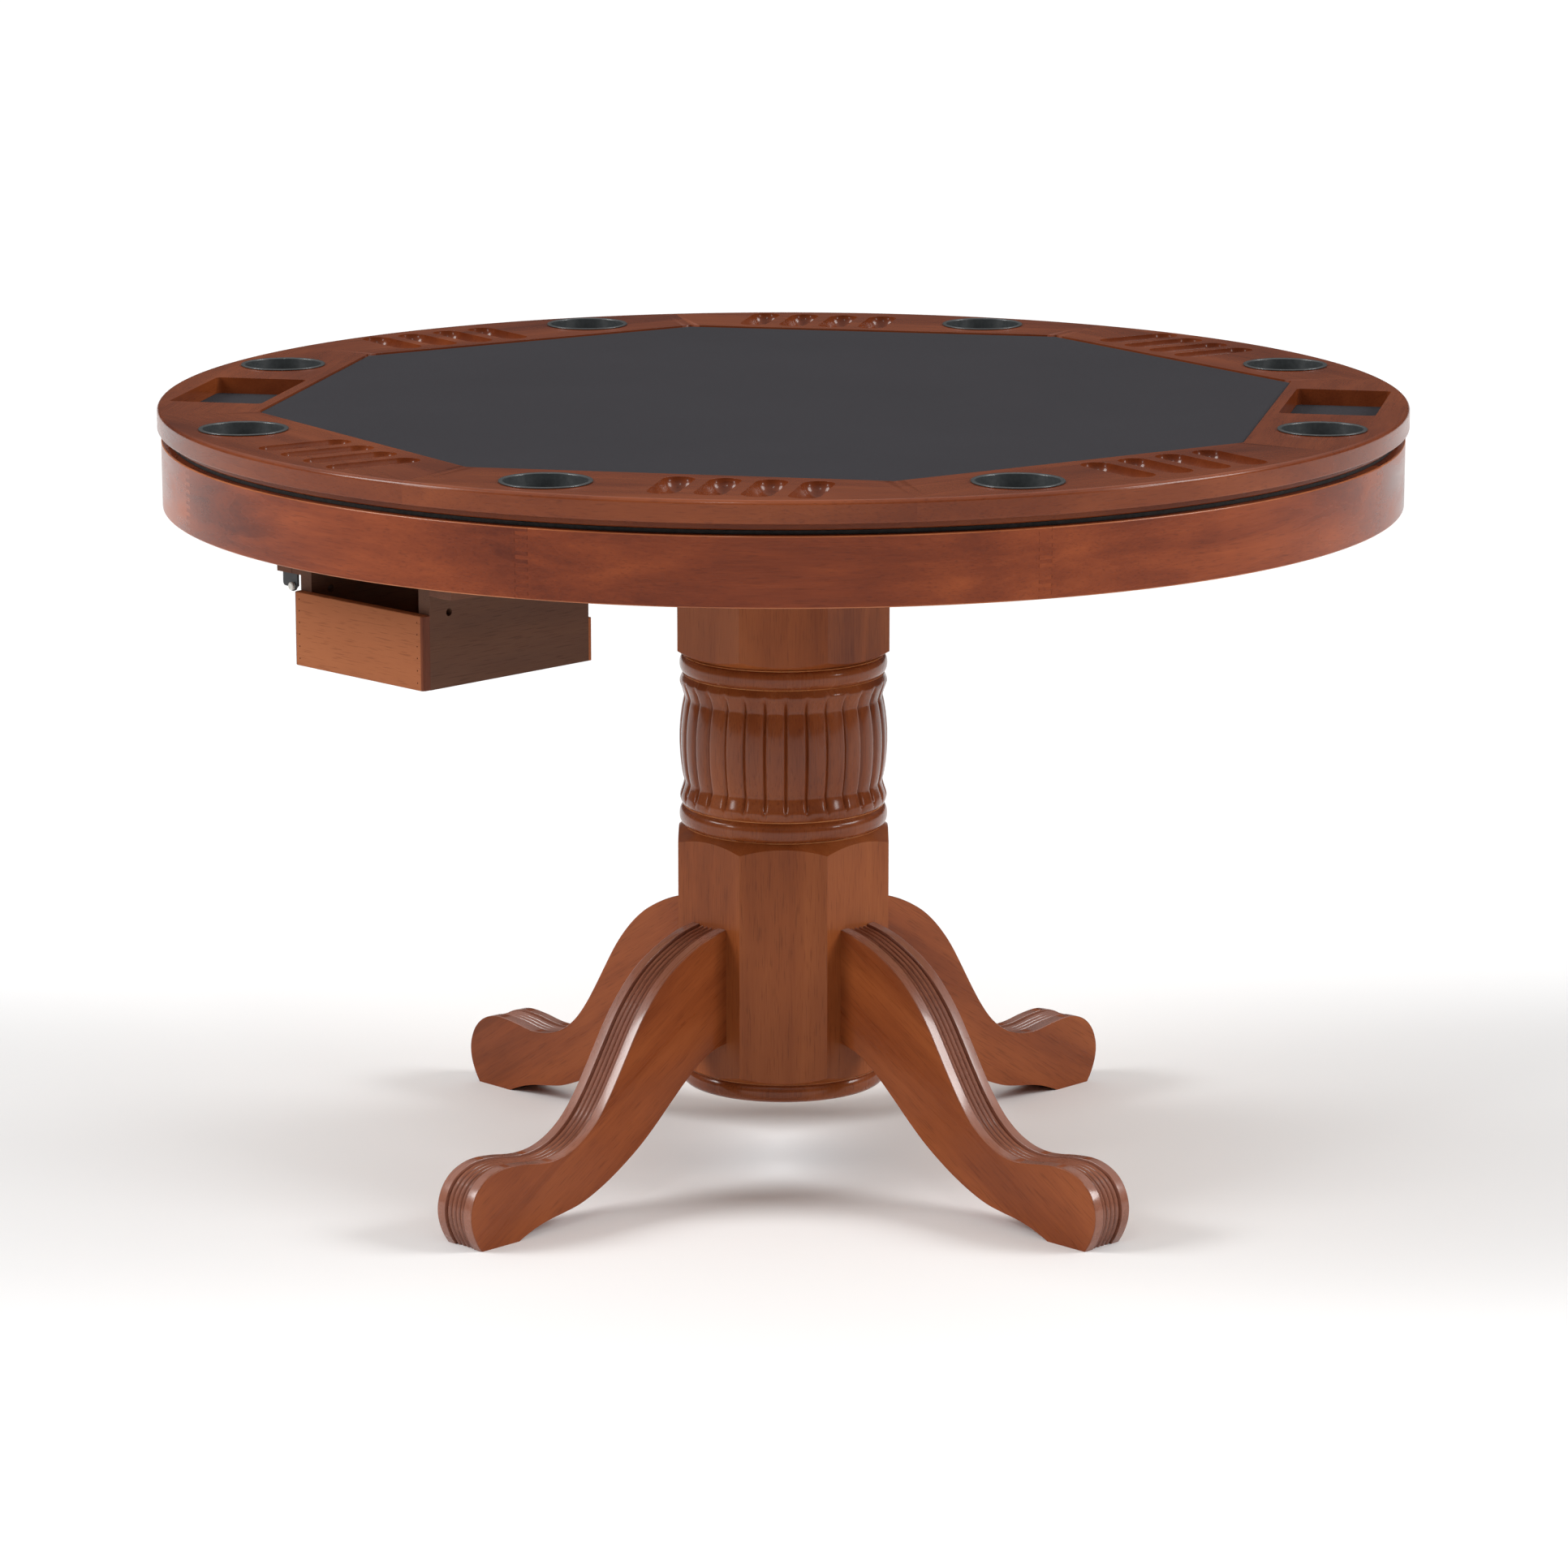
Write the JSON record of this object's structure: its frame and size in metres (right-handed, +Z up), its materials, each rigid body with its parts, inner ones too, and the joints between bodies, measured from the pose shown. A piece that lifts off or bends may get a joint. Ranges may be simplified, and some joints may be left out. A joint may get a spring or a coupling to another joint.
{
  "type": "round game table",
  "caption": "Round pedestal game table with a reversible loose top: octagonal cloth playing field, drink cups, chip slots and trays, and a sliding box under the frame.",
  "frame": {"origin": "on the floor under the centre of the column", "axes": "+Z up; the picture was taken from the -Y side; the sliding box opens towards -X -Y"},
  "size_m": [1.2192, 1.2192, 0.7756],
  "materials": {
    "top_wood": "satin lacquer",
    "apron_wood": "gloss lacquer",
    "column_wood": "satin lacquer",
    "panel_board": "bare board",
    "felt": "napped felt",
    "cup_plastic": "satin",
    "rest_rubber": "matte",
    "black_steel": "satin",
    "zinc_steel": "zinc plated",
    "nylon": "matte",
    "box_board": "matte stain",
    "box_front_wood": "matte stain"
  },
  "bodies": {
    "base": {"apron_1": "apron_wood", "apron_2": "apron_wood", "apron_3": "apron_wood", "apron_4": "apron_wood", "apron_5": "apron_wood", "apron_6": "apron_wood", "apron_7": "apron_wood", "apron_8": "apron_wood", "rest_ring": "rest_rubber", "deck": "panel_board", "bearer_x": "panel_board", "bearer_y": "panel_board", "column_plate": "black_steel", "column_bolts": "zinc_steel", "column_upper_block": "column_wood", "upper_bead_ring": "column_wood", "reeded_drum": "column_wood", "lower_bead_ring": "column_wood", "column_lower_block": "column_wood", "column_base_ring": "column_wood", "leg_1": "column_wood", "leg_2": "column_wood", "leg_3": "column_wood", "leg_4": "column_wood", "leg_bolts": "zinc_steel", "cleat_left": "box_board", "cleat_right": "box_board", "slide_channel_left": "black_steel", "slide_channel_right": "black_steel", "slide_bracket": "black_steel", "nylon_button": "nylon"},
    "top": {"top_rim_1": "top_wood", "top_rim_2": "top_wood", "top_rim_3": "top_wood", "top_rim_4": "top_wood", "top_rim_5": "top_wood", "top_rim_6": "top_wood", "top_rim_7": "top_wood", "top_rim_8": "top_wood", "playing_panel": "panel_board", "playing_felt": "felt", "dining_panel": "top_wood", "tray_felts": "felt"},
    "drawer": {"box_front": "box_front_wood", "box_back": "box_board", "box_side_left": "box_board", "box_side_right": "box_board", "box_bottom": "box_board", "box_blocks": "box_board", "box_runners": "zinc_steel"},
    "roller_left": {"box_roller_left": "nylon"},
    "roller_right": {"box_roller_right": "nylon"},
    "cup_1": {"cup_liner_1": "cup_plastic"},
    "cup_2": {"cup_liner_2": "cup_plastic"},
    "cup_3": {"cup_liner_3": "cup_plastic"},
    "cup_4": {"cup_liner_4": "cup_plastic"},
    "cup_5": {"cup_liner_5": "cup_plastic"},
    "cup_6": {"cup_liner_6": "cup_plastic"},
    "cup_7": {"cup_liner_7": "cup_plastic"},
    "cup_8": {"cup_liner_8": "cup_plastic"}
  },
  "joints": [
    {"name": "top_lift", "type": "slide", "parent": "base", "child": "top", "axis": [0, 0, 1], "range_m": [0, 0.15]},
    {"name": "box_slide", "type": "slide", "parent": "base", "child": "drawer", "axis": [-0.7071, -0.7071, 0], "range_m": [0, 0.15]},
    {"name": "cup_1_lift", "type": "slide", "parent": "top", "child": "cup_1", "axis": [0, 0, 1], "range_m": [0, 0.04]},
    {"name": "cup_2_lift", "type": "slide", "parent": "top", "child": "cup_2", "axis": [0, 0, 1], "range_m": [0, 0.04]},
    {"name": "cup_3_lift", "type": "slide", "parent": "top", "child": "cup_3", "axis": [0, 0, 1], "range_m": [0, 0.04]},
    {"name": "cup_4_lift", "type": "slide", "parent": "top", "child": "cup_4", "axis": [0, 0, 1], "range_m": [0, 0.04]},
    {"name": "cup_5_lift", "type": "slide", "parent": "top", "child": "cup_5", "axis": [0, 0, 1], "range_m": [0, 0.04]},
    {"name": "cup_6_lift", "type": "slide", "parent": "top", "child": "cup_6", "axis": [0, 0, 1], "range_m": [0, 0.04]},
    {"name": "cup_7_lift", "type": "slide", "parent": "top", "child": "cup_7", "axis": [0, 0, 1], "range_m": [0, 0.04]},
    {"name": "cup_8_lift", "type": "slide", "parent": "top", "child": "cup_8", "axis": [0, 0, 1], "range_m": [0, 0.04]},
    {"name": "roller_left_spin", "type": "hinge", "parent": "drawer", "child": "roller_left", "pos_m": [-0.32014, -0.17625, 0.666], "axis": [0.7071, -0.7071, 0], "range_deg": [0, 1256]},
    {"name": "roller_right_spin", "type": "hinge", "parent": "drawer", "child": "roller_right", "pos_m": [-0.18473, -0.31166, 0.666], "axis": [0.7071, -0.7071, 0], "range_deg": [0, 1256]}
  ],
  "couplings": [
    {"joint": "roller_left_spin", "follows": "box_slide", "rad_per_m": 145.99},
    {"joint": "roller_right_spin", "follows": "box_slide", "rad_per_m": 145.99}
  ]
}
